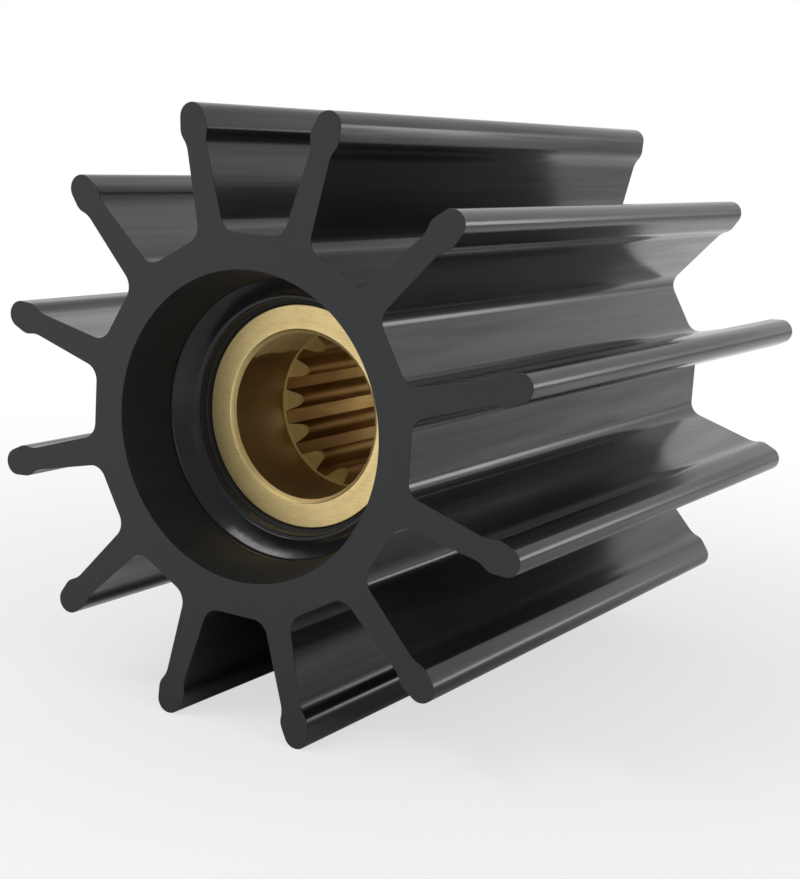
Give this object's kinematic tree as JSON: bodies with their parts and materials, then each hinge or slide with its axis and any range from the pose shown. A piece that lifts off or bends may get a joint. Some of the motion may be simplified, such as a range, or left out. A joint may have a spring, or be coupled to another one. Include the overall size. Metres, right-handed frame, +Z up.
{
  "type": "rubber pump impeller",
  "caption": "Flexible rubber impeller with straight beaded vanes, moulded on a splined brass insert that sits recessed at both ends; pumps water in an eccentric housing.",
  "frame": {"origin": "on the shaft axis, half way along the vanes", "axes": "+Y along the shaft axis towards the rear face, +Z up with the impeller lying on two vanes, +X to the right seen from the front face"},
  "size_m": [0.092, 0.1036, 0.092],
  "materials": {
    "nitrile_rubber": "satin moulded black rubber, matt on the end faces",
    "turned_brass": "fine turned and broached brass"
  },
  "bodies": {
    "root": {"vane_body": "nitrile_rubber", "splined_insert": "turned_brass"}
  },
  "joints": []
}
